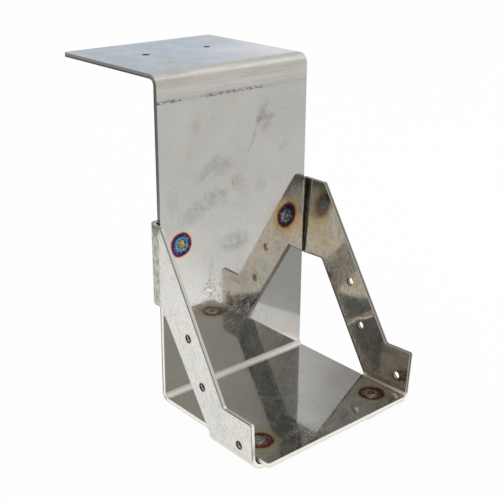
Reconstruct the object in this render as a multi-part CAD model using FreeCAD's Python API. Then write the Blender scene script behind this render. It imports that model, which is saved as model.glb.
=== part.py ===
import FreeCAD, Part
import math
import os
from collections import namedtuple

# A joist hanger for a masonry wall, folded and welded from stainless steel sheet.
# One long strap makes the flange that lies on the wall, the back plate and the seat.
# Two side brackets stand beside it. Each has a lug folded behind the back plate and a
# foot folded under the seat, and a plug weld through the strap holds each of them.
#
# Frame: X across the joist, -Y the way the joist runs, +Y to the wall, +Z up.
# The origin is the centre of the seat's top face, where the joist bears.
# Left and right are as seen from the joist's side, looking along +Y. Sizes in mm.

Vector = FreeCAD.Vector
ACROSS = Vector(1, 0, 0)
FORWARD = Vector(0, -1, 0)
UP = Vector(0, 0, 1)

# Main strap
strap_width = 100.0
strap_sheet = 2.5
seat_depth = 83.7
hanger_height = 174.0
flange_depth = 85.2
seat_bend = 2.5
flange_bend = 3.0
strap_corner = 2.0

# Nail holes through the flange
flange_nail_hole = 4.0
flange_nail_spacing = 41.2
flange_nail_setback = 50.4

# Side brackets: what the two have in common
bracket_sheet = 2.5
flap_length = 29.0
nail_hole = 4.4
lug_corner = 1.2
notch_corner = 2.0
window_corner = 1.5
foot_corner = 1.0

# Plug welds: the hole through the strap and the shape of the weld's crown
weld_hole = 10.0
weld_crown = 0.45
weld_crater = 4.6
weld_lip = 0.36
weld_dip = 0.1

# Each bracket's own sizes. Reaches are measured forward from the back plate's face and
# heights up from the seat. The two were cut and folded by hand, so they differ a little.
Bracket = namedtuple("Bracket", [
    "side",             # -1 on the left, +1 on the right
    "gap",              # from the strap's edge to the side's inner face, at the lug's lower end
    "flare",            # how far the side stands out for each mm forward, 0 where square
    "lean",             # how far the side stands out for each mm up, 0 where upright
    "lug_bend",         # inner radius of the fold behind the back plate
    "foot_bend",        # inner radius of the fold under the seat
    "foot_drop",        # from the seat's underside to the flap below it
    "lug_reach",        # front of the lug's top
    "lug_top",
    "lug_rise",         # how much higher the lug's top is for each mm back from its front
    "lug_bottom",
    "window_reach",     # front of the lug's lower end, where the window's slope starts
    "notch_reach",      # where the sloping strap meets the top of the foot
    "foot_height",
    "foot_rear",
    "foot_front",       # foot's front edge at the seat
    "foot_lean",        # how far the front edge leans forward for each mm up
    "slope_nails",      # (height, distance from the sloping front edge) of each hole
    "foot_nail",        # (height, distance from the foot's front edge)
    "lug_weld_rise",    # lug's bottom edge to the weld in the back plate
    "lug_weld_inset",   # strap's edge to that weld
    "foot_weld_inset",  # strap's edge to the weld in the seat
    "foot_weld_back"])  # foot's front edge to that weld

LEFT = Bracket(
    side=-1, gap=1.4, flare=0.0, lean=0.0, lug_bend=1.4, foot_bend=4.4, foot_drop=2.2,
    lug_reach=5.2, lug_top=98.4, lug_rise=0.12, lug_bottom=55.5, window_reach=5.2,
    notch_reach=53.8, foot_height=18.3, foot_rear=43.0, foot_front=75.8, foot_lean=-0.06,
    slope_nails=[(46.3, 8.6), (23.5, 11.1)], foot_nail=(3.75, 9.5),
    lug_weld_rise=29.1, lug_weld_inset=13.2, foot_weld_inset=10.4, foot_weld_back=10.5)
RIGHT = Bracket(
    side=1, gap=1.3, flare=0.07, lean=0.048, lug_bend=1.1, foot_bend=1.4, foot_drop=0.0,
    lug_reach=11.8, lug_top=102.8, lug_rise=0.03, lug_bottom=58.7, window_reach=13.7,
    notch_reach=63.4, foot_height=22.5, foot_rear=50.4, foot_front=79.8, foot_lean=0.013,
    slope_nails=[(50.9, 8.1), (27.4, 12.6)], foot_nail=(6.7, 7.3),
    lug_weld_rise=25.9, lug_weld_inset=13.2, foot_weld_inset=12.2, foot_weld_back=10.4)
BRACKETS = {"left": LEFT, "right": RIGHT}

plate_face = seat_depth / 2
edge = strap_width / 2
clear_of_folds = 5 * (strap_sheet + bracket_sheet)
clear_of_all = hanger_height + seat_depth + strap_width
TINY = 0.001


def at(x, reach, height):
    """The point at x across, a reach forward of the back plate's face and a height."""
    return Vector(x, plate_face - reach, height)


def prism(points, x_one, x_other):
    """A prism along X between two planes, from its (reach, height) corners."""
    corners = [at(min(x_one, x_other), reach, height) for reach, height in points]
    outline = Part.makePolygon(corners + corners[:1])
    return Part.Face(outline).extrude(ACROSS * abs(x_other - x_one))


def edges_along(solid, direction, points):
    """The solid's straight edges in a direction whose lines pass through the points."""
    found = []
    for line in solid.Edges:
        if not isinstance(line.Curve, Part.Line):
            continue
        start = line.Vertexes[0].Point
        way = line.Vertexes[-1].Point - start
        if way.cross(direction).Length > TINY * way.Length:
            continue
        if any((point - start).cross(direction).Length < TINY for point in points):
            found.append(line)
    return found


def rounded(solid, radius, direction, points):
    """The solid with the edges along a direction through the points rounded."""
    return solid.makeFillet(radius, edges_along(solid, direction, points))


def drilled(solid, diameter, centre, direction, sheet):
    """The solid with a round hole through a sheet, centred on a point of either face."""
    start = centre - direction * 2 * sheet
    drill = Part.makeCylinder(diameter / 2, 4 * sheet, start, direction)
    return solid.cut(drill)


def lug_weld_centre(bracket):
    """Centre of the plug weld on the front face of the back plate."""
    x = bracket.side * (edge - bracket.lug_weld_inset)
    return at(x, 0, bracket.lug_bottom + bracket.lug_weld_rise)


def foot_weld_centre(bracket):
    """Centre of the plug weld on the top face of the seat."""
    x = bracket.side * (edge - bracket.foot_weld_inset)
    return at(x, bracket.foot_front - bracket.foot_weld_back, 0)


def main_strap():
    """The folded strap: flange, back plate and seat, with its weld and nail holes."""
    sheet = strap_sheet
    strap = prism([
        (seat_depth, -sheet), (seat_depth, 0), (0, 0), (0, hanger_height),
        (-flange_depth, hanger_height), (-flange_depth, hanger_height - sheet),
        (-sheet, hanger_height - sheet), (-sheet, -sheet)], -edge, edge)
    strap = rounded(strap, seat_bend, ACROSS, [at(0, 0, 0)])
    strap = rounded(strap, seat_bend + sheet, ACROSS, [at(0, -sheet, -sheet)])
    strap = rounded(strap, flange_bend, ACROSS, [at(0, -sheet, hanger_height - sheet)])
    strap = rounded(strap, flange_bend + sheet, ACROSS, [at(0, 0, hanger_height)])
    corners = [at(x, reach, 0) for x in (-edge, edge) for reach in (seat_depth, -flange_depth)]
    strap = rounded(strap, strap_corner, UP, corners)
    for bracket in BRACKETS.values():
        strap = drilled(strap, weld_hole, lug_weld_centre(bracket), FORWARD, sheet)
        strap = drilled(strap, weld_hole, foot_weld_centre(bracket), UP, sheet)
        nail = at(bracket.side * flange_nail_spacing / 2, -flange_nail_setback, hanger_height)
        strap = drilled(strap, flange_nail_hole, nail, UP, sheet)
    return strap


def side_point(bracket, reach, height, grown=0.0):
    """A point of the side's inner face, or of that face moved outward by a thickness."""
    out = bracket.gap + bracket.flare * reach + bracket.lean * (height - bracket.lug_bottom)
    slant = math.sqrt(1 + bracket.flare ** 2 + bracket.lean ** 2)
    return at(bracket.side * (edge + out + grown * slant), reach, height)


def side_outward(bracket):
    """The way that the side faces outward, square to its sheet."""
    return Vector(bracket.side, bracket.flare, -bracket.lean).normalize()


def side_slab(bracket, points, inward, outward, grown=0.0):
    """A slab over the side's (reach, height) corners, from inward of its face to outward."""
    way = side_outward(bracket)
    corners = [side_point(bracket, reach, height, grown) + way * outward for reach, height in points]
    return Part.Face(Part.makePolygon(corners + corners[:1])).extrude(way * -(inward + outward))


def room_in_folds(bracket, grown):
    """The room inside a bracket's two folds, grown outward by a thickness."""
    way = side_outward(bracket)
    end = bracket.side * (edge + bracket.gap - flap_length)
    beyond = bracket.side * (edge + clear_of_all)
    behind = -strap_sheet - grown
    below = -strap_sheet - bracket.foot_drop - grown
    back, low, far = -clear_of_folds, -clear_of_folds, clear_of_all
    whole = [(2 * back, 2 * low), (2 * far, 2 * low), (2 * far, 2 * far), (2 * back, 2 * far)]
    inside = side_slab(bracket, whole, clear_of_all, 0, grown)
    lug = prism([(behind, low), (far, low), (far, far), (behind, far)], end, beyond).common(inside)
    lug_fold = side_point(bracket, behind, 0, grown)
    lug = rounded(lug, bracket.lug_bend + grown, way.cross(FORWARD), [lug_fold])
    foot = prism([(back, below), (far, below), (far, far), (back, far)], end, beyond).common(inside)
    foot_fold = side_point(bracket, 0, below, grown)
    foot = rounded(foot, bracket.foot_bend + grown, way.cross(UP), [foot_fold])
    return lug.common(foot)


def bracket_outline(bracket):
    """The bracket's outline from the side, as corners of (reach, height, rounding)."""
    back, low = -clear_of_folds, -clear_of_folds
    rear_top = bracket.lug_top + bracket.lug_rise * (bracket.lug_reach - back)
    top_front = bracket.foot_front + bracket.foot_lean * bracket.foot_height
    low_front = bracket.foot_front + bracket.foot_lean * low
    return [
        (back, rear_top, 0),
        (bracket.lug_reach, bracket.lug_top, lug_corner),
        (bracket.notch_reach, bracket.foot_height, notch_corner),
        (top_front, bracket.foot_height, foot_corner),
        (low_front, low, 0),
        (bracket.foot_rear, low, 0),
        (bracket.foot_rear, 0, window_corner),
        (bracket.window_reach, bracket.lug_bottom, window_corner),
        (back, bracket.lug_bottom, 0)]


def bracket_nails(bracket):
    """The (reach, height) of each nail hole through the bracket's side."""
    run = bracket.notch_reach - bracket.lug_reach
    angle = math.atan2(run, bracket.lug_top - bracket.foot_height)
    nails = []
    for height, inset in bracket.slope_nails:
        front = bracket.lug_reach + (bracket.lug_top - height) * math.tan(angle)
        nails.append((front - inset / math.cos(angle), height))
    height, inset = bracket.foot_nail
    nails.append((bracket.foot_front - inset, height))
    return nails


def side_bracket(bracket):
    """One side bracket: a sloping side folded behind the plate and under the seat."""
    outline = bracket_outline(bracket)
    corners = [(reach, height) for reach, height, radius in outline]
    blank = side_slab(bracket, corners, 2 * edge, edge)
    way = side_outward(bracket)
    for reach, height, radius in outline:
        if radius:
            blank = rounded(blank, radius, way, [side_point(bracket, reach, height)])
    shell = room_in_folds(bracket, bracket_sheet).cut(room_in_folds(bracket, 0))
    folded = shell.common(blank)
    for reach, height in bracket_nails(bracket):
        hole = side_point(bracket, reach, height)
        folded = drilled(folded, nail_hole, hole, way, bracket_sheet)
    return folded


def plug_weld(face_centre, outward, depth):
    """A weld that fills its hole, with a crown above the strap and a crater in the middle."""
    radius = weld_hole / 2
    crater = weld_crater / 2
    rim = Vector(radius, 0, 0)
    shoulder = Vector((radius + crater) / 2, 0, weld_crown)
    lip = Vector(crater, 0, weld_lip)
    dip = Vector(0, 0, weld_dip)
    foot = Vector(0, 0, -depth)
    base = Vector(radius, 0, -depth)
    section = Part.Wire([
        Part.LineSegment(foot, base).toShape(), Part.LineSegment(base, rim).toShape(),
        Part.Arc(rim, shoulder, lip).toShape(), Part.LineSegment(lip, dip).toShape(),
        Part.LineSegment(dip, foot).toShape()])
    weld = Part.Face(section).revolve(Vector(0, 0, 0), UP, 360)
    weld.Placement = FreeCAD.Placement(face_centre, FreeCAD.Rotation(UP, outward))
    return weld


def build():
    """Every piece of the hanger, by name."""
    pieces = {"main_strap": main_strap()}
    for name, bracket in BRACKETS.items():
        seat_weld_depth = strap_sheet + bracket.foot_drop
        pieces[name + "_bracket"] = side_bracket(bracket)
        pieces[name + "_plate_weld"] = plug_weld(lug_weld_centre(bracket), FORWARD, strap_sheet)
        pieces[name + "_seat_weld"] = plug_weld(foot_weld_centre(bracket), UP, seat_weld_depth)
    return pieces


os.makedirs("parts", exist_ok=True)
for name, shape in build().items():
    solid = Part.Solid(shape.Solids[0])
    if len(shape.Solids) != 1 or not solid.isValid():
        raise ValueError(name + " is not one sound solid")
    solid.exportStep("parts/" + name + ".step")
    print(name, "volume", round(solid.Volume, 1), "mm3")
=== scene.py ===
"""Dresses the masonry joist hanger: eased sheet edges, real weld nuggets, stainless finishes and a photo table."""

from math import cos, exp, pi, radians

import bmesh
import bpy
from mathutils import Matrix, Quaternion, Vector, noise


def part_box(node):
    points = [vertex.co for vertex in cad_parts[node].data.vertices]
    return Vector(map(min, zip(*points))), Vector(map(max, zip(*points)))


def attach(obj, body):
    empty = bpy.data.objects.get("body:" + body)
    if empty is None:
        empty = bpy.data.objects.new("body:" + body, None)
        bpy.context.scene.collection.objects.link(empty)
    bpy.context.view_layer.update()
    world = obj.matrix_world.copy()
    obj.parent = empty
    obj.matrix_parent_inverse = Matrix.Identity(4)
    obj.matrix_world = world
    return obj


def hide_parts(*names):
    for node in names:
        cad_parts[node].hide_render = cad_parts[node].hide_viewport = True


bl_info = {
    "name": "Masonry joist hanger",
    "version": (1, 1, 0),
    "blender": (4, 5, 0),
    "location": "3D View > Sidebar > Joist hanger",
    "description": "Eases the edges of the hanger's sheets, lays its weld nuggets and gives it its stainless finish",
    "category": "Object",
}

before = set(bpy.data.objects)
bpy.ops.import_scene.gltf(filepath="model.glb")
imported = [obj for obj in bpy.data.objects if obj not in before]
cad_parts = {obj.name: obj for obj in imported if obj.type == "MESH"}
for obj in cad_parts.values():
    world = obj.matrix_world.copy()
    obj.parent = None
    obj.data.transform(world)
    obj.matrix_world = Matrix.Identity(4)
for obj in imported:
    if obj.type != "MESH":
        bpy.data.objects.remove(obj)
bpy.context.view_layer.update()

MM = 0.001
LOWEST = min(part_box(name)[0].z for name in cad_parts)  # the underside of the brackets' feet
PLATE_FRONT = 41.85  # mm from the seat's middle to the plate's front face
FLANGE_TOP = 174.0  # mm above the seat
WELDS = ("left_plate_weld", "right_plate_weld", "left_seat_weld", "right_seat_weld")
WELD_BOXES = {name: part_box(name) for name in WELDS}


def tint(code, alpha=1.0):
    """The linear colour of an sRGB hex value, such as C8C6C1."""
    levels = [int(code[i:i + 2], 16) / 255 for i in (0, 2, 4)]
    return [v / 12.92 if v <= 0.04045 else ((v + 0.055) / 1.055) ** 2.4 for v in levels] + [alpha]


# ---------------------------------------------------------------- sizes and colours


class HangerSizes(bpy.types.PropertyGroup):
    edge_radius: bpy.props.FloatProperty(
        name="Edge radius",
        description="Radius left on the sheets' sheared edges by the tumbling drum",
        default=0.28 * MM, min=0.05 * MM, max=0.8 * MM, precision=5, subtype="DISTANCE", unit="LENGTH")
    weld_toe: bpy.props.FloatProperty(
        name="Weld toe",
        description="How far a weld's crown laps over the rim of the hole that it fills",
        default=0.45 * MM, min=0.1 * MM, max=1.5 * MM, precision=5, subtype="DISTANCE", unit="LENGTH")
    ripple: bpy.props.FloatProperty(
        name="Weld ripple",
        description="Height of the ripples that the weld pool froze with",
        default=0.11 * MM, min=0.0, max=0.4 * MM, precision=5, subtype="DISTANCE", unit="LENGTH")
    crater: bpy.props.FloatProperty(
        name="Weld crater",
        description="Depth of the pit where the torch was lifted",
        default=0.55 * MM, min=0.0, max=1.2 * MM, precision=5, subtype="DISTANCE", unit="LENGTH")


class HangerColours(bpy.types.PropertyGroup):
    sheet: bpy.props.FloatVectorProperty(
        name="Sheet", description="Colour of the bare stainless sheet",
        default=tint("CBCBC9"), size=4, min=0.0, max=1.0, subtype="COLOR")
    straw: bpy.props.FloatVectorProperty(
        name="Straw tint", description="Tint that the weld's heat left on the right bracket",
        default=tint("CAC1B3"), size=4, min=0.0, max=1.0, subtype="COLOR")
    cut_edge: bpy.props.FloatVectorProperty(
        name="Cut edge", description="Colour of the burnished part of a sheared edge",
        default=tint("F0EEEA"), size=4, min=0.0, max=1.0, subtype="COLOR")


# ---------------------------------------------------------------- helpers


def add(tree, kind, inputs=None, stops=None, **settings):
    """Adds one shader node with its settings, its links and, for a ramp, its stops, and returns its first output."""
    node = tree.nodes.new("ShaderNode" + kind)
    for name, value in settings.items():
        setattr(node, name, value)
    for key, value in (inputs or {}).items():
        if isinstance(value, bpy.types.NodeSocket):
            tree.links.new(value, node.inputs[key])
        else:
            node.inputs[key].default_value = value
    if stops:
        ramp = node.color_ramp.elements
        while len(ramp) < len(stops):
            ramp.new(0.5)
        for point, (place, colour) in zip(ramp, stops):
            point.position = place
            point.color = colour
    return next((out for out in node.outputs if out.enabled), None)


def ranged(tree, value, start=0.0, end=1.0, low=0.0, high=1.0, **settings):
    """The value's run from start to end laid over low to high, and held at low or high beyond it."""
    ends = {"Value": value, "From Min": start, "From Max": end, "To Min": low, "To Max": high}
    return add(tree, "MapRange", ends, **settings)


def eased(tree, value, start, end, low=0.0, high=1.0):
    """The same run, with a slow start and a slow stop."""
    return ranged(tree, value, start, end, low, high, interpolation_type="SMOOTHSTEP")


def times(tree, value, factor):
    """The product of two values."""
    return add(tree, "Math", {0: value, 1: factor}, operation="MULTIPLY")


def prop(group, name):
    """A size or colour as it stands in the panel."""
    value = getattr(getattr(bpy.context.scene, group), name)
    return value if isinstance(value, float) else tuple(value)


def new_material(name):
    """A material with an empty node tree, and the tree."""
    material = bpy.data.materials.new(name)
    material.use_nodes = True
    material.node_tree.nodes.clear()
    return material, material.node_tree


def in_mm(tree):
    """The place on the piece, in the part's millimetres."""
    place = add(tree, "TexCoord").node.outputs["Object"]
    return add(tree, "VectorMath", {0: place, "Scale": 1 / MM}, operation="SCALE")


def speckle(tree, spot, size, low, high, stretch=(1, 1, 1), detail=2.0, turn=(0, 0, 0)):
    """Spots of noise about size mm across that fade in between the levels low and high; turn is in radians."""
    scale = tuple(s / size for s in stretch)
    local = add(tree, "Mapping", {"Vector": add(tree, "Mapping", {"Vector": spot, "Rotation": turn}), "Scale": scale})
    grain = add(tree, "TexNoise", {"Vector": local, "Scale": 1.0, "Detail": detail, "Roughness": 0.55})
    return eased(tree, grain, low, high)


def blot(tree, spot, centre, size, turn=(0, 0, 0), heart=0.3):
    """A soft-edged oval mark, 1 in its heart and 0 outside its half-sizes; turn is in degrees."""
    turns = tuple(radians(a) for a in turn)
    local = add(tree, "Mapping", {"Vector": spot, "Location": centre, "Rotation": turns, "Scale": size},
                vector_type="TEXTURE")
    far = add(tree, "VectorMath", {0: local}, operation="LENGTH")
    return eased(tree, far, 1.0, heart)


def stroke(tree, spot, start, end, width):
    """A soft straight stroke from start to end, 1 on its line and 0 beyond its half-width."""
    run = Vector(end) - Vector(start)
    ahead = add(tree, "VectorMath", {0: spot, 1: start}, operation="SUBTRACT")
    share = add(tree, "VectorMath", {0: ahead, 1: run / run.length_squared}, operation="DOT_PRODUCT")
    near = add(tree, "VectorMath", {0: run, "Scale": add(tree, "Clamp", {"Value": share})}, operation="SCALE")
    gap = add(tree, "VectorMath", {0: ahead, 1: near}, operation="DISTANCE")
    return eased(tree, gap, width, 0.3 * width)


def summed(tree, masks):
    """The weighted sum of masks, given as (mask, weight) pairs."""
    total = 0.0
    for mask, weight in masks:
        total = add(tree, "Math", {0: mask, 1: weight, 2: total}, operation="MULTIPLY_ADD")
    return total


def weld_centre(name):
    """The middle of a weld's box, in the part's millimetres."""
    low, high = WELD_BOXES[name]
    return (low + high) / 2 / MM


def stained(tree, base, mask, colour, weight=1.0, blend="MIX"):
    """The base colour, changed towards colour where the mask is."""
    share = add(tree, "Math", {0: mask, 1: weight}, operation="MULTIPLY", use_clamp=True)
    return add(tree, "Mix", {0: share, 6: base, 7: colour}, data_type="RGBA", blend_type=blend)


def linked(name, data):
    """A new object with this data, in the scene's own collection."""
    item = bpy.data.objects.new(name, data)
    bpy.context.scene.collection.objects.link(item)
    return item


def laid(name, mesh, *finishes):
    """Turns a bmesh into an object with these materials, and frees it."""
    data = bpy.data.meshes.new(name)
    mesh.to_mesh(data)
    mesh.free()
    for finish in finishes:
        data.materials.append(finish)
    return linked(name, data)


def aimed(place, target):
    """The turn that points a camera or a lamp at the target."""
    return (target - place).to_track_quat("-Z", "Y")


# ---------------------------------------------------------------- camera and stage

# Where the photo's camera stood, what it looked at and how far it was tilted, found from the strap's corners.
CAMERA_PLACE = Vector((-0.309766, -0.327665, 0.260541))
CAMERA_TARGET = Vector((0.009844, 0.041850, 0.070177))
CAMERA_ROLL = 0.343  # degrees
CAMERA_LENS = 68.33  # mm, on a sensor 36 mm wide

FLOOR_RADIUS = 3.0
FLOOR_GAP = 0.05 * MM
# The part's shadow and half-shadow: where each begins and is full, in mm to the side, and what is left of the light.
SHADOWS = ((85.0, 90.0, 0.66), (54.0, 62.0, 0.76))
PAPER_MIDDLE = (20.0, 30.0, 0.0)
PAPER_EDGE = (322.0, 361.0)  # mm from that point: where the paper starts to darken, and where the table begins
TABLE_TONE = 0.18

LAMP_PLACE = Vector((0.56, -0.24, 0.76))
LAMP_TARGET = Vector((0, 0, 0.06))
LAMP_WATTS = 0.36


def set_camera():
    """The photo's own view of the part."""
    lens = bpy.data.cameras.new("photo_camera")
    lens.sensor_fit = "HORIZONTAL"
    lens.sensor_width = 36.0
    lens.lens = CAMERA_LENS
    lens.clip_start = 0.01
    camera = linked("photo_camera", lens)
    turn = aimed(CAMERA_PLACE, CAMERA_TARGET) @ Quaternion((0, 0, 1), radians(CAMERA_ROLL))
    camera.matrix_world = Matrix.Translation(CAMERA_PLACE) @ turn.to_matrix().to_4x4()
    bpy.context.scene.camera = camera


def floor_material():
    """Matt white paper. What the mirror-bright sheet shows of it is lit unevenly, as a table by a window is."""
    material, tree = new_material("matt_white_paper")
    spot = in_mm(tree)
    across = add(tree, "SeparateXYZ", {0: spot}).node.outputs["X"]
    reach = add(tree, "VectorMath", {0: spot}, operation="LENGTH")
    near = eased(tree, across, 40.0, 120.0, 1.20, 0.87)
    fade = eased(tree, reach, 200.0, 420.0, 1.0, 0.89)
    level = times(tree, near, fade)
    # beyond the paper's left edge lies the dark table
    left = eased(tree, across, 60.0, -90.0)
    away = add(tree, "VectorMath", {0: spot, 1: PAPER_MIDDLE}, operation="DISTANCE")
    beyond = eased(tree, away, PAPER_EDGE[0], PAPER_EDGE[1])
    off_paper = times(tree, left, beyond)
    dimmed = [(off_paper, TABLE_TONE)]
    # the part's own shadow and its half-shadow, to the right and behind
    aside = add(tree, "VectorMath", {0: spot, 1: (1.0, -0.233, 0.0)}, operation="DOT_PRODUCT")
    back = add(tree, "VectorMath", {0: spot, 1: (0.5, 1.0, 0.0)}, operation="DOT_PRODUCT")
    back = eased(tree, back, -24.0, -8.0)
    for low, high, tone in SHADOWS:
        edge = eased(tree, aside, low, high)
        dimmed.append((times(tree, edge, back), tone))
    for mask, tone in dimmed:
        light = ranged(tree, mask, low=1.0, high=tone)
        level = times(tree, level, light)
    # the camera sees it nearly white, with a little of the part's shadow
    path = add(tree, "LightPath").node.outputs
    matt = add(tree, "BsdfDiffuse", {"Color": tint("EDEDEB")})
    lit = add(tree, "Emission", {"Color": (1, 1, 1, 1), "Strength": 1.07})
    paper = add(tree, "MixShader", {"Fac": 0.86, 1: matt, 2: lit})
    mirrored = add(tree, "Emission", {"Color": tint("FFFDF9"), "Strength": level})
    base = add(tree, "MixShader", {"Fac": path["Is Camera Ray"], 1: matt, 2: paper})
    shown = add(tree, "MixShader", {"Fac": path["Is Glossy Ray"], 1: base, 2: mirrored})
    add(tree, "OutputMaterial", {"Surface": shown})
    return material


def set_floor():
    """The sheet of paper that the part stands on."""
    mesh = bmesh.new()
    bmesh.ops.create_circle(mesh, cap_ends=True, segments=64, radius=FLOOR_RADIUS)
    bmesh.ops.translate(mesh, verts=mesh.verts, vec=(0, 0, LOWEST - FLOOR_GAP))
    floor = laid("paper_floor", mesh, floor_material())


# The room that the sheet mirrors, by compass direction: (degrees from the wall's side, clockwise from above; tone).
LOW_ROOM = (
    (-180, "D0CECA"), (-146, "D8DCDC"), (-122.8, "C6CAC9"), (-121.2, "82827E"), (-100, "8E8D88"), (-59, "9A9790"),
    (0, "C4CAD2"), (38, "CCD5DE"), (42.5, "ECEEF0"), (90, "EAEAE8"), (124, "F2F1EE"), (133, "D8D4CC"), (139, "C4BEB2"),
    (142, "D2CDC4"), (147, "CAC6BC"), (180, "D0CECA"))
HIGH_ROOM = (
    (-180, "B0ACA2"), (-152, "C2C8C8"), (-150.3, "B0B6B6"), (-149, "6C706F"), (-142, "707473"), (-131, "B4BABA"),
    (-128.5, "D2D6D6"), (-124.5, "DCDCD8"), (-122, "868682"), (-59, "AAA8A0"), (-20, "A4A39E"), (20, "CACCCE"),
    (43, "D9D8D6"), (45, "CAC9C7"), (46.2, "B9B8B5"), (48.5, "93928F"), (60, "C0BEBA"), (80, "E8E7E4"),
    (124, "F2F1EE"), (133, "C8C4BA"), (135.3, "B8B4AA"), (136, "84827A"), (137.3, "8C8A82"), (138.4, "BAB5AA"),
    (140, "C6C0B4"), (146, "CCC8BE"), (160, "C0BCB2"), (180, "B0ACA2"))
# The directions in which the seat mirrors the room through the right bracket's two upper nail holes.
HOLE_GAPS = ((0.643, 0.573, 0.508), (0.674, 0.549, 0.494))
WINDOW = (0.788, -0.532, 0.31)  # the direction of the brightest patch of the room


def set_room():
    """The room as the sheet mirrors it. The camera itself sees white, and matt things are lit by an even grey."""
    world = bpy.data.worlds.new("quiet_room")
    bpy.context.scene.world = world
    world.use_nodes = True
    tree = world.node_tree
    tree.nodes.clear()
    way = add(tree, "TexCoord").node.outputs["Generated"]
    parts = add(tree, "SeparateXYZ", {0: way}).node.outputs
    angle = add(tree, "Math", {0: parts["X"], 1: parts["Y"]}, operation="ARCTAN2")
    turn = ranged(tree, angle, -pi, pi)
    bands = [add(tree, "ValToRGB", {"Fac": turn}, stops=[((d + 180) / 360, tint(c)) for d, c in band])
             for band in (LOW_ROOM, HIGH_ROOM)]
    height, ceiling, ceiling_side = [
        eased(tree, parts[axis], start, end)
        for axis, start, end in (("Z", 0.27, 0.46), ("Z", 0.61, 0.68), ("X", 0.0, 0.35))]
    room = add(tree, "Mix", {0: height, 6: bands[0], 7: bands[1]}, data_type="RGBA")
    glow = times(tree, ceiling, ceiling_side)
    room = stained(tree, room, glow, tint("F2F0EC"))
    window = blot(tree, way, WINDOW, (0.13, 0.13, 0.13), heart=0.6)
    for direction in HOLE_GAPS:
        room = stained(tree, room, blot(tree, way, direction, (0.014, 0.014, 0.014), heart=0.7), (1, 1, 1, 1))
    path = add(tree, "LightPath").node.outputs
    strength = ranged(tree, window, low=1.0, high=1.8)
    seen = add(tree, "Background", {"Color": room, "Strength": strength})
    soft = add(tree, "Background", {"Color": tint("E8E8E8"), "Strength": 0.75})
    white = add(tree, "Background", {"Color": (1, 1, 1, 1), "Strength": 1.0})
    lit = add(tree, "MixShader", {"Fac": path["Is Glossy Ray"], 1: soft, 2: seen})
    shown = add(tree, "MixShader", {"Fac": path["Is Camera Ray"], 1: lit, 2: white})
    add(tree, "OutputWorld", {"Surface": shown})


def set_lamp():
    """A soft box, above the part and to its right."""
    light = bpy.data.lights.new("soft_box", "AREA")
    light.shape = "RECTANGLE"
    light.size = 0.5
    light.size_y = 0.4
    light.energy = LAMP_WATTS
    turn = aimed(LAMP_PLACE, LAMP_TARGET)
    linked("soft_box", light).matrix_world = Matrix.Translation(LAMP_PLACE) @ turn.to_matrix().to_4x4()


class HANGER_OT_stage(bpy.types.Operator):
    """Set up the paper floor, the room's light, the soft box and the camera"""
    bl_idname = "hanger.stage"
    bl_label = "Table, light and camera"

    def execute(self, context):
        context.scene.view_settings.view_transform = "Standard"
        set_camera()
        set_floor()
        set_room()
        set_lamp()
        return {"FINISHED"}


# ---------------------------------------------------------------- heat and handling marks, in the part's millimetres

TINT_REACH = 20.0  # mm from a weld's centre to the end of its heat tint's ramp

# Oxide films round each weld, from the fused metal outwards: (radius, colour, cover).
BLUE_RINGS = ((4.2, "2E4066", 1), (4.8, "38285E", 1), (5.5, "4E2458", 1), (6.1, "5C2C48", 1), (6.4, "864E50", 1),
              (6.7, "BE9078", 1), (7.1, "DCC4A6", 0.8), (7.6, "D8C6C0", 0.6), (8.4, "D2D2BE", 0.55),
              (9.6, "D2CEC2", 0.35), (12.5, "CBCBC9", 0))
PURPLE_RINGS = ((4.2, "251A38", 1), (5.3, "32204A", 1), (6.0, "4A2038", 1), (6.6, "5A3028", 1), (7.1, "8E6C54", 1),
                (7.7, "BBA27E", 1), (8.6, "C4B088", 0.85), (9.6, "C6B592", 0.7), (10.8, "C0AEA0", 0.5),
                (12.5, "C6BCAE", 0.35), (19.0, "CBC4B8", 0))
BROWN_RINGS = ((4.8, "8A5A4E", 1), (5.5, "7A2E22", 1), (6.3, "56221A", 1), (6.8, "66462F", 1), (7.4, "A08E6C", 0.85),
               (8.8, "B8AE8C", 0.7), (10.2, "C0B69A", 0.5), (13.0, "C6C0B0", 0.25), (17.0, "CBCBC9", 0))
# Each weld's rings, and how far they lean to one side.
RINGS = {"left_plate_weld": (BLUE_RINGS, (0.05, 0.0, -0.03)), "right_plate_weld": (PURPLE_RINGS, (-0.03, 0.0, 0.0)),
         "left_seat_weld": (BROWN_RINGS, (-0.02, 0.0, 0.0)), "right_seat_weld": (BROWN_RINGS, (-0.03, 0.02, 0.0))}

# Greasy grey smudges on the plate: centre x and z, half-sizes, turn about the sheet's normal, depth.
SMUDGES = (
    (-9.0, 121.5, 7.5, 5.0, -10, 0.09), (-19.0, 122.0, 3.4, 10.0, 50, 0.10), (2.0, 110.5, 5.0, 7.5, -35, 0.07),
    (17.5, 106.0, 5.0, 3.5, 0, 0.06), (-25.0, 102.0, 6.0, 16.0, 62, 0.105), (-9.0, 107.5, 4.0, 2.5, 20, 0.08),
    (-1.0, 78.1, 12.0, 6.4, 5, 0.115), (-17.8, 66.0, 2.0, 9.0, 5, 0.07), (20.5, 141.0, 6.0, 6.0, 30, 0.07),
    (33.0, 125.5, 4.0, 2.0, -20, 0.05), (18.0, 148.0, 4.0, 7.0, 25, 0.06), (-42.0, 108.0, 4.0, 8.0, 0, 0.05),
    (-12.0, 104.0, 9.0, 5.0, 30, 0.06), (2.5, 101.0, 7.0, 3.0, -30, 0.04))
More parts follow.
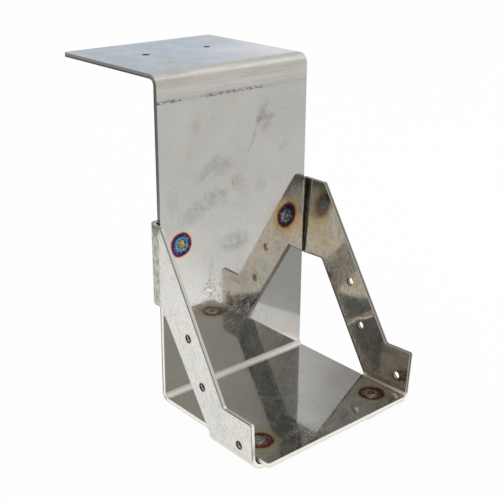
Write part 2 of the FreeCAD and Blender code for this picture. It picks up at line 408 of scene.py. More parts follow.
# Thin dark strokes on the plate: start x and z, end x and z, half-width, depth.
STROKES = (
    (21.8, 151.5, 17.6, 147.0, 1.9, 0.10), (17.6, 147.0, 14.9, 142.0, 2.1, 0.13), (14.9, 142.0, 12.2, 134.9, 1.9, 0.12),
    (12.2, 134.9, 10.8, 131.1, 1.3, 0.16), (10.8, 131.1, 8.0, 126.6, 0.9, 0.18), (14.9, 143.1, 25.0, 143.8, 2.2, 0.13),
    (25.0, 143.6, 20.2, 139.1, 1.5, 0.08), (-2.6, 110.4, -2.0, 112.6, 0.7, 0.35), (0.6, 140.8, 3.6, 141.6, 0.8, 0.12),
    (-16.0, 148.7, -14.6, 148.4, 0.8, 0.10), (-6.0, 75.2, 6.0, 76.6, 0.8, 0.10), (-3.0, 73.4, 8.0, 77.0, 0.7, 0.10))
# Coloured stains on the strap: centre, half-sizes, turn, colour, cover.
STAINS = (
    ((-26.4, PLATE_FRONT, 145.5), (5.0, 1.2, 6.0), (0, 10, 0), "B9B79C", 0.45),
    ((-31.0, PLATE_FRONT, 134.0), (3.0, 1.2, 8.0), (0, 15, 0), "C1BFAB", 0.40),
    ((-3.6, PLATE_FRONT, 156.6), (6.0, 1.2, 4.5), (0, 0, 0), "D3BFB2", 0.50),
    ((0.5, PLATE_FRONT, 112.5), (5.5, 1.2, 6.5), (0, -35, 0), "CDBFAB", 0.45),
    ((-21.7, PLATE_FRONT, 74.0), (2.0, 1.2, 9.0), (0, 0, 0), "D2C0BC", 0.50),
    ((20.0, PLATE_FRONT, 137.0), (5.0, 1.2, 4.0), (0, 0, 0), "CBBDB4", 0.35),
    ((41.0, PLATE_FRONT, 14.0), (9.0, 1.2, 8.0), (0, 20, 0), "D6C2BA", 0.45),
    ((-22.5, 68.0, FLANGE_TOP), (9.0, 9.0, 1.2), (0, 0, 0), "E2CCA0", 0.95),
    ((-24.5, 65.5, FLANGE_TOP), (4.5, 4.0, 1.2), (0, 0, 0), "B0946C", 0.85),
    ((-8.5, 100.0, FLANGE_TOP), (9.0, 7.0, 1.2), (0, 0, 0), "E0CAC6", 0.80),
    ((-45.0, 86.0, FLANGE_TOP), (8.0, 26.0, 1.2), (0, 0, 12), "D8CBB2", 0.85),
    ((-46.0, 112.0, FLANGE_TOP), (9.0, 20.0, 1.2), (0, 0, 0), "E0CEA8", 0.90),
    ((30.0, 112.0, FLANGE_TOP), (18.0, 13.0, 1.2), (0, 0, 0), "EFE4DE", 0.80),
    ((20.0, 80.0, FLANGE_TOP), (26.0, 24.0, 1.2), (0, 0, 20), "F6EEF0", 0.85),
    ((44.0, 76.0, FLANGE_TOP), (10.0, 28.0, 1.2), (0, 0, -10), "F0ECEC", 0.85),
    ((-30.0, 50.0, FLANGE_TOP), (20.0, 8.0, 1.2), (0, 0, 8), "CDC0A8", 0.80),
    ((34.0, -3.0, 0.0), (12.0, 10.0, 1.2), (0, 0, 30), "C6B2A8", 0.35))
# Places where handling dulled the strap most: centre, half-sizes, how much more haze.
SCUFFS = (((0.0, 0.0, 0.0), (70.0, 60.0, 1.5), 0.12), ((-16.0, -34.0, 0.0), (26.0, 13.0, 1.5), 0.46),
          ((20.0, -30.0, 0.0), (20.0, 10.0, 1.5), 0.18), ((-8.0, 10.0, 0.0), (12.0, 26.0, 1.5), 0.12),
          ((46.5, -34.0, 0.0), (6.0, 7.0, 1.5), 0.8),
          ((3.0, PLATE_FRONT, 36.0), (15.0, 1.5, 15.0), 0.7), ((-14.0, PLATE_FRONT, 54.0), (14.0, 1.5, 12.0), 0.5))
# Nail holes in the brackets' sides, each with a ring of painted shade where the punch rolled its edge in.
NAIL_HOLES = {"left": ((-52.65, 15.1, 46.3), (-52.65, 4.2, 23.5), (-52.65, -24.45, 3.75)),
              "right": ((54.7, 6.4, 50.8), (54.2, -3.3, 27.3), (55.1, -30.6, 6.6))}
# A painted reflection of the seat fold's highlight, a bright line across the right bracket's slope, above the middle
# nail hole.
SEAT_FOLD_REFLECTION = ((52.3, 5.1, 24.9), (52.7, 1.8, 28.2), (53.0, -0.8, 30.8), (53.2, -3.6, 31.9), (53.6, -7.0, 33.2),
          (53.9, -11.0, 35.7))
# The dark burr along the edges of the right bracket's window: start, end, half-width.
DARK_BURR = (((52.3, 28.1, 58.6), (52.1, -8.6, 0.5), 1.1), ((51.3, 41.8, 58.6), (52.3, 28.1, 58.6), 1.0))
# Small dark pits on the flange: centre x and y.
PITS = ((7.4, 105.8), (-38.6, 75.0), (-1.9, 52.7), (-9.6, 92.0))
# The press tool's two broken lines under the upper fold: height, half-width, how dark from left to right.
PRESS_LINES = (
    (160.3, 1.25, ((0.0, 1.0), (0.14, 0.9), (0.17, 0.3), (0.28, 0.35), (0.32, 0.8), (0.66, 0.9), (0.70, 0.25),
                   (1.0, 0.2))),
    (166.6, 0.5, ((0.50, 0.0), (0.53, 0.4), (0.80, 0.45), (0.83, 0.05))))
# The flange's faint clouds, the bluish ones a painted reflection of the sky: size, noise levels, colour, cover.
CLOUDS = ((19.0, 0.42, 0.62, "B9C6D6", 0.6), (11.0, 0.44, 0.62, "E6E1E0", 0.7), (5.0, 0.54, 0.70, "D0C4B2", 0.5),
          (2.2, 0.54, 0.72, "A9B0B8", 0.35))
# Marks all over the left bracket: size, noise levels, stretch, colour, cover.
LEFT_MARKS = (
    (11.0, 0.46, 0.62, (1, 1, 1), "C3CACB", 0.45), (13.0, 0.52, 0.66, (1, 1, 1), "D8CBC3", 0.35),
    (2.4, 0.50, 0.72, (1, 1, 0.45), "ADB1B0", 0.5), (1.2, 0.54, 0.72, (1, 1, 0.5), "8F908E", 0.5),
    (1.6, 0.58, 0.72, (1, 1, 1), "F4F2EE", 0.3))
# Marks all over the right bracket: size, noise levels, colour, cover.
RIGHT_MARKS = ((5.5, 0.50, 0.66, "A2A29C", 0.35), (2.6, 0.48, 0.66, "B09A80", 0.6), (1.5, 0.54, 0.70, "8A867C", 0.5))
# Coloured stains on the brackets' sides: centre y and z, half-sizes, colour, cover.
LEFT_STAINS = (((-22, 9), (9, 2.5), "D2BFAE", 0.5), ((-33, 6), (6, 8), "DCCDBC", 0.45),
               ((8, 32), (5, 7), "D8CDBE", 0.4), ((-6, 14), (6, 7), "B9BBB6", 0.4))
RIGHT_STAINS = (
    ((30, 101), (18, 9), "8C877A", 0.3), ((37, 76), (6, 9), "B99F73", 0.6), ((29, 74), (13, 17), "CBB898", 0.7),
    ((15.5, 84), (5, 7), "C7B48A", 0.5), ((4, 38), (14, 6), "A9AFB0", 0.6), ((6, 50), (8, 6), "CDB294", 0.6),
    ((-14, 24), (12, 12), "A8A9A6", 0.5), ((-35.5, 7.0), (3.5, 1.0), "C09A8E", 0.8),
    ((-24, 19), (12, 3.5), "8A8C84", 0.6), ((-30, 8), (10, 8), "C6B493", 0.5))


def heat_tint(tree, base, spot):
    """Lays each weld's rings of oxide over the sheet, a little lopsided and ragged, as the torch's heat left them."""
    ragged = add(tree, "TexNoise", {"Vector": spot, "Scale": 0.20, "Detail": 3.0})
    ragged = ranged(tree, ragged, 0.3, 0.7, -0.3, 0.3)
    for name in WELDS:
        rings, lean = RINGS[name]
        flat = (1.0, 0.25, 1.0) if "plate" in name else (1.0, 1.0, 0.25)
        away = add(tree, "VectorMath", {0: spot, 1: weld_centre(name)}, operation="SUBTRACT")
        away = add(tree, "VectorMath", {0: away, 1: flat}, operation="MULTIPLY")
        far = add(tree, "VectorMath", {0: away}, operation="LENGTH")
        side = add(tree, "VectorMath", {0: away, 1: lean}, operation="DOT_PRODUCT")
        far = add(tree, "Math", {0: far, 1: side}, operation="ADD")
        far = add(tree, "Math", {0: far, 1: ragged}, operation="ADD")
        share = add(tree, "Math", {0: far, 1: TINT_REACH}, operation="DIVIDE")
        film = add(tree, "ValToRGB", {"Fac": share}, stops=[(r / TINT_REACH, tint(c, alpha=a)) for r, c, a in rings])
        base = add(tree, "Mix", {0: film.node.outputs["Alpha"], 6: base, 7: film}, data_type="RGBA")
    return base


# What full haze and a stretched fold add to the sheet's roughness, and what they hide of its metal.
HAZE_ROUGH, FOLD_ROUGH = 0.26, 0.15
HAZE_FILM, FOLD_FILM = 0.34, 0.16


def rolled_sheet(tree, spot, base, haze, fold, blur=0.012, wave=0.10):
    """Bright annealed sheet: a mirror with a slight wave, in mm. Handling leaves a haze of scratches, drawn as specks
    of about a millimetre because real ones are too fine to show, and a fold's skin is stretched to a satin."""
    cloud = add(tree, "TexNoise", {"Vector": spot, "Scale": 0.045, "Detail": 4.0, "Roughness": 0.6})
    fine = speckle(tree, spot, 1.2, 0.42, 0.62, detail=3.0)
    specks = times(tree, fine, speckle(tree, spot, 4.5, 0.36, 0.60))
    streaks = speckle(tree, spot, 1.3, 0.54, 0.70, stretch=(1, 0.14, 0.14), turn=(0, 0, 0.4))
    specks = add(tree, "Math", {0: streaks, 1: 0.35, 2: specks}, operation="MULTIPLY_ADD", use_clamp=True)
    specks = ranged(tree, specks, low=0.22, high=1.0)
    dull = times(tree, specks, haze)
    rough = add(tree, "Math", {0: dull, 1: HAZE_ROUGH, 2: blur}, operation="MULTIPLY_ADD")
    rough = add(tree, "Math", {0: fold, 1: FOLD_ROUGH, 2: rough}, operation="MULTIPLY_ADD", use_clamp=True)
    bare = add(tree, "Math", {0: dull, 1: -HAZE_FILM, 2: 1.0}, operation="MULTIPLY_ADD", use_clamp=True)
    bare = add(tree, "Math", {0: fold, 1: -FOLD_FILM, 2: bare}, operation="MULTIPLY_ADD", use_clamp=True)
    tone = ranged(tree, cloud, 0.3, 0.7, 1.03, 0.955)
    base = add(tree, "VectorMath", {0: base, "Scale": tone}, operation="SCALE")
    swell = add(tree, "TexNoise", {"Vector": spot, "Scale": 0.035, "Detail": 1.0})
    bump = add(tree, "Bump", {"Height": swell, "Strength": 1.0, "Distance": wave * MM})
    metal = add(tree, "BsdfPrincipled", {"Base Color": base, "Metallic": bare, "Roughness": rough, "Normal": bump})
    add(tree, "OutputMaterial", {"Surface": metal})


def strap_dirt(tree, spot, sides):
    """How dark the strap's marks are: smudges and strokes on the plate, the press tool's lines, pits in the flange."""
    marks = [(blot(tree, spot, (x, PLATE_FRONT, z), (1.25 * a, 1.2, 1.25 * b), (0, turn, 0)), depth)
             for x, z, a, b, turn, depth in SMUDGES]
    blotches = speckle(tree, spot, 1.8, 0.30, 0.66, stretch=(1, 1, 0.6), detail=6.0, turn=(0, 0.8, 0))
    blotches = ranged(tree, blotches, low=0.7, high=2.1)
    grime = times(tree, summed(tree, marks), blotches)
    cast = speckle(tree, spot, 2.2, 0.46, 0.66, detail=6.0)
    cast = times(tree, cast, speckle(tree, spot, 24.0, 0.42, 0.60))
    lines = [(stroke(tree, spot, (x, PLATE_FRONT, z), (u, PLATE_FRONT, w), width), depth)
             for x, z, u, w, width, depth in STROKES]
    lines = times(tree, summed(tree, lines), speckle(tree, spot, 1.1, 0.30, 0.55))
    # the press tool's broken lines, on the plate's front only
    front = ranged(tree, sides["Y"], PLATE_FRONT + 0.9, PLATE_FRONT + 0.3)
    along = ranged(tree, sides["X"], -50.0, 50.0)
    chatter = speckle(tree, spot, 1.1, 0.34, 0.64, stretch=(0.5, 1, 0.9))
    ticks = []
    for height, width, profile in PRESS_LINES:
        off = add(tree, "Math", {0: sides["Z"], 1: height}, operation="SUBTRACT")
        off = add(tree, "Math", {0: off}, operation="ABSOLUTE")
        tick = eased(tree, off, width, 0.2 * width)
        force = add(tree, "ValToRGB", {"Fac": along}, stops=[(p, (v, v, v, 1)) for p, v in profile])
        for share in (force, chatter, front):
            tick = times(tree, tick, share)
        ticks.append((tick, 0.80))
    pits = [(blot(tree, spot, (x, y, FLANGE_TOP), (0.9, 1.3, 1.0)), 0.6) for x, y in PITS]
    return add(tree, "Math", {0: grime, 1: summed(tree, [(lines, 0.95), (cast, 0.07)] + ticks + pits)}, operation="ADD")


def strap_stains(tree, spot, sides, base):
    """The strap's tan and pink stains, the spatter above its seat and its flange's clouds, the bluish ones a painted
    reflection of the sky.
    """
    for centre, size, turn, colour, cover in STAINS:
        base = stained(tree, base, blot(tree, spot, centre, size, turn, heart=0.1), tint(colour), cover)
    # spatter: pale dots and dark ones
    sprayed = blot(tree, spot, (-16.5, PLATE_FRONT, 56.0), (9.0, 1.2, 11.0))
    for shift, colour, cover in ((0.0, "F6ECD8", 0.9), (37.0, "6E6252", 0.6)):
        dots = speckle(tree, add(tree, "VectorMath", {0: spot, 1: (shift, 0, shift)}, operation="ADD"), 1.7, 0.57, 0.66)
        dots = times(tree, dots, sprayed)
        base = stained(tree, base, dots, tint(colour), cover)
    # the flange's clouds; the bluish ones are a painted reflection of the sky
    top = ranged(tree, sides["Z"], FLANGE_TOP - 0.8, FLANGE_TOP - 0.2)
    for size, low, high, colour, cover in CLOUDS:
        mottle = times(tree, speckle(tree, spot, size, low, high, detail=4.0), top)
        base = stained(tree, base, mottle, tint(colour), cover)
    return base


def strap_folds(tree, spot, base):
    """The colour with painted highlights along both folds and the plate's right edge, and the top fold's streaked skin;
    and where the strap is satin: folds, weld haloes and rim.
    """
    seat_fold = blot(tree, spot, (0, PLATE_FRONT, 0), (300, 3.0, 3.0), heart=0.65)
    top_fold = blot(tree, spot, (0, PLATE_FRONT + 2.5, 171.5), (300, 7.5, 7.5), heart=0.55)
    fold = summed(tree, [(top_fold, 2.2), (seat_fold, 2.6)])
    # painted highlight along the seat fold
    base = stained(tree, base, seat_fold, tint("F6F3EC"), 0.9)
    # painted highlight along the top fold
    top_fold_highlight = blot(tree, spot, (0, PLATE_FRONT + 2.0, 170.5), (300, 9.0, 9.0), heart=0.4)
    base = stained(tree, base, top_fold_highlight, tint("EFECE6"), 0.45)
    for name in ("left_seat_weld", "right_seat_weld"):
        halo = blot(tree, spot, weld_centre(name), (13.0, 13.0, 13.0), heart=0.5)
        fold = summed(tree, [(halo, 1.2), (fold, 1.0)])
    # the plate's right edge, where the bracket stands behind it, with a painted highlight
    rim = stroke(tree, spot, (49.8, PLATE_FRONT, 60.0), (49.8, PLATE_FRONT, 102.0), 0.9)
    base = stained(tree, base, rim, tint("F0EEE8"), 0.8)
    fold = summed(tree, [(rim, 2.5), (fold, 1.0)])
    near_fold = blot(tree, spot, (0, PLATE_FRONT, 171.0), (300, 14.0, 15.0), heart=0.5)
    for size, colour, cover in ((1.0, "A8A5A0", 0.26), (1.9, "DCD2CA", 0.28)):
        streaks = speckle(tree, spot, size, 0.44, 0.66, stretch=(0.045, 1, 1), detail=3.0)
        streaks = times(tree, streaks, near_fold)
        base = stained(tree, base, streaks, tint(colour), cover)
    return base, fold


def strap_material():
    """Bright annealed stainless strip: a near mirror with press marks, smudges, a scratch and the welds' heat tint."""
    material, tree = new_material("bright_annealed_stainless_strap")
    spot = in_mm(tree)
    sides = add(tree, "SeparateXYZ", {0: spot}).node.outputs
    base = strap_stains(tree, spot, sides, prop("hanger_colours", "sheet"))
    base = heat_tint(tree, base, spot)
    keep = add(tree, "Math", {0: 1.0, 1: strap_dirt(tree, spot, sides)}, operation="SUBTRACT", use_clamp=True)
    base = add(tree, "VectorMath", {0: base, "Scale": keep}, operation="SCALE")
    base, fold = strap_folds(tree, spot, base)
    haze = ranged(tree, speckle(tree, spot, 14.0, 0.35, 0.65), low=0.20, high=0.45)
    for centre, size, more in SCUFFS:
        haze = add(tree, "Math", {0: blot(tree, spot, centre, size), 1: more, 2: haze}, operation="MULTIPLY_ADD")
    rolled_sheet(tree, spot, base, haze, fold)
    return material


def left_finish(tree, spot):
    """The left bracket's sheet, scuffed by handling: its colour, haze, fold, blur and wave."""
    base = prop("hanger_colours", "sheet")
    slope = (radians(31), 0, 0)
    for size, low, high, stretch, colour, cover in LEFT_MARKS:
        marks = speckle(tree, spot, size, low, high, stretch=stretch, turn=slope, detail=3.0)
        base = stained(tree, base, marks, tint(colour), cover)
    for (y, z), (b, c), colour, cover in LEFT_STAINS:
        base = stained(tree, base, blot(tree, spot, (-52.7, y, z), (4, b, c), heart=0.2), tint(colour), cover)
    # the lug fold's rear strip, darker and specked
    sides = add(tree, "SeparateXYZ", {0: spot}).node.outputs
    rear = eased(tree, sides["Y"], 37.8, 38.7)
    rear_specks = speckle(tree, spot, 1.2, 0.40, 0.62, stretch=(1, 1, 0.35))
    rear_specks = ranged(tree, rear_specks, low=0.35, high=1.0)
    base = stained(tree, base, times(tree, rear, rear_specks), tint("8E8C87"))
    # more haze on the inner skin than on the outer one
    haze = ranged(tree, sides["X"], -53.6, -51.9, 0.25, 0.45)
    fold = blot(tree, spot, (-50.0, -12.0, -5.0), (9.0, 70.0, 7.0), heart=0.6)
    return base, haze, fold, 0.02, 0.10


def right_finish(tree, spot):
    """The right bracket's sheet, straw from the welds' heat: its colour, haze, fold, blur and wave."""
    base = prop("hanger_colours", "straw")
    patches = speckle(tree, spot, 11.0, 0.38, 0.62)
    base = stained(tree, base, patches, tint("C4C2BC"), 0.6)
    for (y, z), (b, c), colour, cover in RIGHT_STAINS:
        base = stained(tree, base, blot(tree, spot, (53, y, z), (5, b, c), heart=0.2), tint(colour), cover)
    for size, low, high, colour, cover in RIGHT_MARKS:
        base = stained(tree, base, speckle(tree, spot, size, low, high, detail=3.0), tint(colour), cover)
    scuffs = (((53, 18, 58), (5, 13, 12), 0.45), ((54, -26, 3), (5, 12, 5), 0.6))
    haze = summed(tree, [(blot(tree, spot, centre, size), more) for centre, size, more in scuffs])
    haze = add(tree, "Math", {0: haze, 1: 0.30}, operation="ADD")
    # the foot's fold, a painted highlight under a band of painted dark reflection, and painted shade in the lug's fold
    foot_fold = blot(tree, spot, (53, -20, -2.4), (6, 70, 2.0), heart=0.6)
    # painted dark reflection above the foot's fold
    base = stained(tree, base, blot(tree, spot, (53, -20, 1.0), (6, 70, 1.1), heart=0.3), tint("7A7466"), 0.3)
    lug_fold = blot(tree, spot, (53, 43.5, 80), (8, 3.4, 70), heart=0.6)
    # painted shade in the lug's fold
    base = stained(tree, base, lug_fold, tint("6A6454"), 0.3)
    fold = times(tree, foot_fold, 4.5)
    # painted highlight along the foot's fold
    base = stained(tree, base, foot_fold, tint("F8F2E8"), 0.95)
    for start, end, width in DARK_BURR:
        base = stained(tree, base, stroke(tree, spot, start, end, width), tint("2E2C28"), 0.85)
    # the seat fold's highlight, painted as its reflection beside the middle hole
    fold_reflection = summed(tree, [(stroke(tree, spot, a, b, 0.95), 1.0) for a, b in zip(SEAT_FOLD_REFLECTION, SEAT_FOLD_REFLECTION[1:])])
    base = stained(tree, base, fold_reflection, tint("FFEBCF"), 0.95)
    fold = add(tree, "Math", {0: fold_reflection, 1: 3.2, 2: fold}, operation="MULTIPLY_ADD")
    # the dull patch beside the plate weld
    blur = blot(tree, spot, (53, 35, 89), (8, 13, 15))
    blur = add(tree, "Math", {0: blur, 1: 0.21, 2: 0.03}, operation="MULTIPLY_ADD")
    return base, haze, fold, blur, 0.30


def bracket_material(side):
    """Bright annealed stainless bracket sheet, with painted shade round its nail holes and the welds' heat tint."""
    material, tree = new_material("bright_annealed_stainless_%s_bracket" % side)
    spot = in_mm(tree)
    finish = left_finish if side == "left" else right_finish
    base, haze, fold, blur, wave = finish(tree, spot)
    # a ring of painted shade round each nail hole
    for hole in NAIL_HOLES[side]:
        base = stained(tree, base, blot(tree, spot, hole, (3.1, 3.1, 3.1), heart=0.74), tint("2A2825"), 0.85)
    base = heat_tint(tree, base, spot)
    rolled_sheet(tree, spot, base, haze, fold, blur, wave)
    return material


def cut_material(name, bands, shade):
    """A sheared stainless edge: a burnished band where the blade entered, then a dull grey band where the sheet tore.
    The tear scatters light, so an edge stays pale where a mirror would be dark."""
    material, tree = new_material("sheared_stainless_edge_" + name)
    spot = in_mm(tree)
    depth = add(tree, "Attribute", attribute_name="sheet_depth").node.outputs["Fac"]
    bright = prop("hanger_colours", "cut_edge")
    band = add(tree, "ValToRGB", {"Fac": depth}, stops=[(p, tuple(v * tone for v in bright)) for p, tone in bands])
    torn = speckle(tree, spot, 0.9, 0.40, 0.70)
    base = stained(tree, band, torn, tint("A9A7A1"), 0.12)
    level = add(tree, "SeparateXYZ", {0: spot}).node.outputs["Z"]
    # painted light from the floor on the edges under the seat; painted shade, darker up the plate, and less so along
    # the flange
    under = ranged(tree, level, -1.0, -2.2)
    base = stained(tree, base, under, bright, 0.8)
    upper = ranged(tree, level, 60.0, 95.0)
    flange = ranged(tree, level, FLANGE_TOP - 4.5, FLANGE_TOP - 2.0, 1.0, 0.45)
    upper = times(tree, upper, flange)
    base = stained(tree, base, upper, tint("4A4946"), shade, blend="MULTIPLY")
    rough = ranged(tree, torn, low=0.30, high=0.40)
    metal = add(tree, "BsdfPrincipled", {"Base Color": base, "Metallic": 0.75, "Roughness": rough})
    add(tree, "OutputMaterial", {"Surface": metal})
    return material


# A punched hole's wall through the sheet's depth: (share of the depth, colour).
HOLE_BANDS = ((0.0, "161514"), (0.24, "24221F"), (0.36, "A8A6A0"), (0.56, "C4C2BC"), (0.70, "2A2825"), (1.0, "161514"))


def hole_material(name):
    """A punched stainless hole's wall: burnished, between near-black rims."""
    material, tree = new_material("punched_stainless_hole_" + name)
    depth = add(tree, "Attribute", attribute_name="sheet_depth").node.outputs["Fac"]
    band = add(tree, "ValToRGB", {"Fac": depth}, stops=[(place, tint(colour)) for place, colour in HOLE_BANDS])
    metal = add(tree, "BsdfPrincipled", {"Base Color": band, "Metallic": 0.8, "Roughness": 0.35})
    add(tree, "OutputMaterial", {"Surface": metal})
    return material


# ---------------------------------------------------------------- sheets

SHARP = radians(30)  # faces that meet at more than this are on different sides of an edge
HOLE_WALL = 60 * MM * MM  # a nail or weld hole's wall has less area than this, and a cut outline has more
DEPTH_PASSES = 60  # enough for the depth to settle between the two skins


def skins(mesh):
    """Marks a sheet's two rolled skins as 0 and 1, what the shear cut as 2 and the walls of its holes as 3."""
    left = set(mesh.faces)
    patches = []
    while left:
        seed = left.pop()
        patch, rim = [seed], [seed]
        while rim:
            for edge in rim.pop().edges:
                for other in edge.link_faces:
                    if other in left and edge.calc_face_angle(0.0) < SHARP:
                        left.remove(other)
                        patch.append(other)
                        rim.append(other)
        patches.append((sum(f.calc_area() for f in patch), patch))
    patches.sort(key=lambda entry: -entry[0])
    for rank, (area, patch) in enumerate(patches):
        for face in patch:
            face.material_index = rank if rank < 2 else 3 if area < HOLE_WALL else 2


def mark_depth(mesh):
    """Gives each vertex its depth through the sheet: 0 on the first skin, 1 on the second, and between on the edges."""
    layer = mesh.verts.layers.float.new("sheet_depth")
    fixed = {}
    for face in mesh.faces:
        if face.material_index < 2:
            for vert in face.verts:
                fixed[vert] = float(face.material_index)
    for vert in mesh.verts:
        vert[layer] = fixed.get(vert, 0.5)
    between = {v: [(e.other_vert(v), 1 / max(e.calc_length(), 0.02 * MM)) for e in v.link_edges]
               for v in mesh.verts if v not in fixed}
    for _ in range(DEPTH_PASSES):
        for vert, ways in between.items():
            vert[layer] = sum(other[layer] * share for other, share in ways) / sum(share for other, share in ways)


def over_weld(edge):
    """Whether an edge is the rim of a hole that a weld fills: fused metal covers it, so it isn't eased."""
    middle = (edge.verts[0].co + edge.verts[1].co) / 2
    margin = 0.2 * MM
    return any(all(low[i] - margin <= middle[i] <= high[i] + margin for i in range(3))
               for low, high in WELD_BOXES.values())


# How bright a sheared edge is through the sheet's depth, from its larger skin to its smaller one: partly its own
# burnished and torn bands, partly painted highlights on its rounded arrises. The right bracket's darker bands are
# painted shade.
STRAP_CUT = ((0.0, 0.30), (0.14, 0.26), (0.26, 0.45), (0.40, 1.0), (1.0, 1.0))
LEFT_CUT = ((0.0, 0.8), (0.10, 0.30), (0.24, 0.34), (0.36, 1.0), (0.92, 1.0), (1.0, 0.6))
RIGHT_CUT = ((0.0, 0.50), (0.10, 0.30), (0.55, 0.14), (0.66, 0.20), (0.80, 0.50), (1.0, 0.50))


def eased_sheet(node, finish, bands, shade=0.0):
    """A copy of a CAD sheet with merged faces and rounded edges, which stands for the node."""
    mesh = bmesh.new()
    mesh.from_mesh(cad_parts[node].data)
    bmesh.ops.remove_doubles(mesh, verts=mesh.verts, dist=0.002 * MM)
    bmesh.ops.dissolve_limit(mesh, angle_limit=radians(0.4), verts=mesh.verts, edges=mesh.edges)
    skins(mesh)
    sharp = [e for e in mesh.edges if e.calc_face_angle(0.0) > SHARP and not over_weld(e)]
    bmesh.ops.bevel(mesh, geom=sharp, offset=prop("hanger_sizes", "edge_radius"), offset_type="OFFSET", segments=2,
                    profile=0.5, affect="EDGES", material=-1, clamp_overlap=True)
    mark_depth(mesh)
    for face in mesh.faces:
        face.smooth = True
        face.material_index = max(face.material_index - 1, 0)
    piece = laid(node + "_sheet", mesh, finish, cut_material(node, bands, shade), hole_material(node))
    normals = piece.modifiers.new("flat_skins", "WEIGHTED_NORMAL")
    normals.mode = "FACE_AREA"
    normals.weight = 50
    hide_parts(node)
    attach(piece, "root")
    return piece


class HANGER_OT_strap(bpy.types.Operator):
    """Ease the folded strap's edges and give it its bright finish"""
    bl_idname = "hanger.strap"
    bl_label = "Main strap"

    def execute(self, context):
        eased_sheet("main_strap", strap_material(), STRAP_CUT, 0.6)
        return {"FINISHED"}


class HANGER_OT_brackets(bpy.types.Operator):
    """Ease both side brackets' edges and give them their bright finish"""
    bl_idname = "hanger.brackets"
    bl_label = "Side brackets"

    def execute(self, context):
        for side, bands in (("left", LEFT_CUT), ("right", RIGHT_CUT)):
            eased_sheet(side + "_bracket", bracket_material(side), bands)
        return {"FINISHED"}


# ---------------------------------------------------------------- welds

# Oxide on the nuggets, from the crater outwards: (radius, colour). On the seat welds, a painted highlight brightens the
# grey middle and a painted shade darkens the crater's lip.
NUGGETS = {
    "left_plate_weld": ((0.0, "80603E"), (1.1, "CDB28A"), (2.1, "B89A70"), (2.6, "6E5636"), (3.0, "242C34"),
                        (3.5, "5E9CB0"), (4.1, "4C7CA4"), (4.7, "2A3868"), (5.3, "38285E")),
    "right_plate_weld": ((0.0, "8A5A4A"), (0.9, "5E5650"), (1.5, "7E8C8C"), (2.3, "3E5054"), (3.1, "7C949A"),
                         (3.8, "5A6A78"), (4.3, "3A2A48"), (5.2, "3A2048")),
    # the seat welds: painted highlight in the middle, painted shade in the dark ring round the crater
    "left_seat_weld": ((0.0, "BEB6B0"), (1.2, "C6BEB8"), (1.7, "4E4E4A"), (2.3, "8A9892"), (3.2, "96A09A"),
                       (4.0, "8A7A74"), (4.7, "7A4A40"), (5.3, "6A2A20")),
    "right_seat_weld": ((0.0, "B8BCB4"), (1.1, "C0C2BA"), (1.5, "3A3632"), (1.9, "4E4A46"), (2.5, "B4ACAA"),
                        (3.6, "A89A98"), (4.4, "7E6A62"), (5.2, "6A3026")),
}
NUGGET_REACH = 6.0  # mm from the crater to the end of the oxide's ramp
# Where each torch was lifted: mm right and up on the nugget as it faces the viewer, and the pit's share of full depth.
CRATERS = {"left_plate_weld": (-0.3, 0.5, 0.8), "right_plate_weld": (-0.4, -0.2, 0.8),
           "left_seat_weld": (-0.6, 0.2, 0.3), "right_seat_weld": (-0.4, -0.2, 0.5)}

CROWN = 0.34 * MM  # how far the dome's middle stands above its rim
RIM = 0.11 * MM  # the dome's height above the sheet, at the hole's edge
RIPPLE_PITCH = 1.15 * MM
TOE_HEIGHT = 0.10 * MM
TOE_EDGE = 0.01 * MM  # what is left of the toe at its end, above and below the sheet's face
CRATER_RADIUS = 0.9 * MM
LIP = 0.16 * MM  # height of the lip round the crater, and of the pool's uneven swells
LIP_RADIUS = 1.7 * MM
LIP_WIDTH = 0.5 * MM
HIGHEST = 0.47 * MM
DOME_STEPS = 24
SPIN_STEPS = 72


def nugget_material(name):
    """Fused stainless under a film of oxide: the cooled ripples keep their own colours, in rings round the crater, with
    a painted highlight and painted shade at the seat welds' craters.
    """
    material, tree = new_material("oxidised_stainless_" + name)
    spot = in_mm(tree)
    aside, up = CRATERS[name][:2]
    centre = weld_centre(name) + Vector((aside, 0, up) if "plate" in name else (aside, up, 0))
    far = add(tree, "VectorMath", {0: spot, 1: centre}, operation="DISTANCE")
    wobble = add(tree, "TexNoise", {"Vector": spot, "Scale": 0.7, "Detail": 3.0})
    wobble = ranged(tree, wobble, 0.3, 0.7, -0.5, 0.5)
    share = add(tree, "Math", {0: far, 1: wobble}, operation="ADD")
    share = add(tree, "Math", {0: share, 1: NUGGET_REACH}, operation="DIVIDE")
    film = add(tree, "ValToRGB", {"Fac": share}, stops=[(r / NUGGET_REACH, tint(c)) for r, c in NUGGETS[name]])
    base = stained(tree, film, speckle(tree, spot, 1.5, 0.52, 0.66), tint("C6CCC8"), 0.4)  # bright flecks
    base = stained(tree, base, speckle(tree, spot, 2.0, 0.56, 0.68), tint("2A2824"), 0.5)  # dark slag
    smooth, coarse = (0.12, 0.34) if "plate" in name else (0.18, 0.36)
    rough = ranged(tree, wobble, -0.5, 0.5, smooth, coarse)
    metal = add(tree, "BsdfPrincipled", {"Base Color": base, "Metallic": 1.0, "Roughness": rough})
    add(tree, "OutputMaterial", {"Surface": metal})
    return material


def nugget_height(radius, hole, toe):
    """Height of a nugget's top above the sheet: a low dome with frozen ripples that thins out to its toe."""
    if radius > hole:
        return TOE_HEIGHT * (1 - (radius - hole) / toe) + TOE_EDGE
    dome = CROWN * (1 - (radius / hole) ** 2) + RIM
    return dome + prop("hanger_sizes", "ripple") * 0.5 * cos(2 * pi * radius / RIPPLE_PITCH) * (radius / hole)


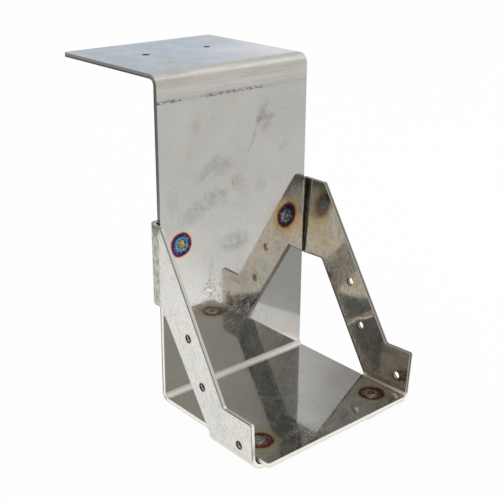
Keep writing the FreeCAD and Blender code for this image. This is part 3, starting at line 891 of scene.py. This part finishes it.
def nugget(name):
    """A plug weld: a disc spun from its section, with a crater pressed in and its ripples pulled out of round."""
    low, high = WELD_BOXES[name]
    plate = "plate" in name
    hole = (high.x - low.x) / 2
    toe = prop("hanger_sizes", "weld_toe")
    depth = high.y - PLATE_FRONT * MM if plate else -low.z
    mesh = bmesh.new()
    steps = [hole * i / DOME_STEPS for i in range(DOME_STEPS)] + [hole + toe * t for t in (0.0, 0.4, 0.8, 1.0)]
    section = [(step, 0, nugget_height(step, hole, toe)) for step in steps]
    section += [(hole + toe, 0, -TOE_EDGE), (hole, 0, -TOE_EDGE), (hole, 0, -depth), (0, 0, -depth)]
    verts = [mesh.verts.new(point) for point in section]
    edges = [mesh.edges.new(pair) for pair in zip(verts, verts[1:])]
    bmesh.ops.spin(mesh, geom=verts + edges, axis=(0, 0, 1), cent=(0, 0, 0), steps=SPIN_STEPS, angle=2 * pi,
                   use_merge=True)
    bmesh.ops.remove_doubles(mesh, verts=mesh.verts, dist=0.001 * MM)
    bmesh.ops.recalc_face_normals(mesh, faces=mesh.faces)
    aside, up, pit_share = CRATERS[name]
    pit = Vector((aside, up, 0)) * MM
    crater = pit_share * prop("hanger_sizes", "crater")
    for vert in mesh.verts:
        if vert.co.z > 0:
            flat = Vector((vert.co.x, vert.co.y, 0))
            far = (flat - pit).length
            inner = max(0.0, 1 - flat.length / hole)
            pull = noise.noise(vert.co / MM * 0.55 + Vector((7.0 * WELDS.index(name), 0, 0)))
            dip = crater * exp(-(far / CRATER_RADIUS) ** 2)
            lip = LIP * exp(-((far - LIP_RADIUS) / LIP_WIDTH) ** 2)
            vert.co.z += min(inner * 3, 1) * (LIP * pull + lip) - dip
            vert.co.z = min(vert.co.z, HIGHEST)
    if plate:
        bmesh.ops.rotate(mesh, verts=mesh.verts, cent=(0, 0, 0), matrix=Matrix.Rotation(radians(90), 3, "X"))
        place = Vector(((low.x + high.x) / 2, PLATE_FRONT * MM, (low.z + high.z) / 2))
    else:
        place = Vector(((low.x + high.x) / 2, (low.y + high.y) / 2, 0))
    bmesh.ops.translate(mesh, verts=mesh.verts, vec=place)
    for face in mesh.faces:
        face.smooth = True
    piece = laid(name + "_nugget", mesh, nugget_material(name))
    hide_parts(name)
    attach(piece, "root")


class HANGER_OT_welds(bpy.types.Operator):
    """Lay the four plug welds"""
    bl_idname = "hanger.welds"
    bl_label = "Plug welds"

    def execute(self, context):
        for name in WELDS:
            nugget(name)
        return {"FINISHED"}


# ---------------------------------------------------------------- panel and registration


class HANGER_PT_panel(bpy.types.Panel):
    bl_label = "Joist hanger"
    bl_idname = "HANGER_PT_panel"
    bl_space_type = "VIEW_3D"
    bl_region_type = "UI"
    bl_category = "Joist hanger"

    def draw(self, context):
        for group, name in GROUPS.items():
            for field in group.__annotations__:
                self.layout.prop(getattr(context.scene, name), field)
        for operator in OPERATORS:
            self.layout.operator(operator.bl_idname)


GROUPS = {HangerSizes: "hanger_sizes", HangerColours: "hanger_colours"}
OPERATORS = (HANGER_OT_stage, HANGER_OT_strap, HANGER_OT_brackets, HANGER_OT_welds)
CLASSES = (*GROUPS, *OPERATORS, HANGER_PT_panel)


def register():
    for cls in CLASSES:
        bpy.utils.register_class(cls)
    for group, name in GROUPS.items():
        setattr(bpy.types.Scene, name, bpy.props.PointerProperty(type=group))


def unregister():
    for name in GROUPS.values():
        delattr(bpy.types.Scene, name)
    for cls in reversed(CLASSES):
        bpy.utils.unregister_class(cls)


def main():
    register()
    bpy.ops.hanger.stage()
    bpy.ops.hanger.strap()
    bpy.ops.hanger.brackets()
    bpy.ops.hanger.welds()


if __name__ == "__main__":
    main()
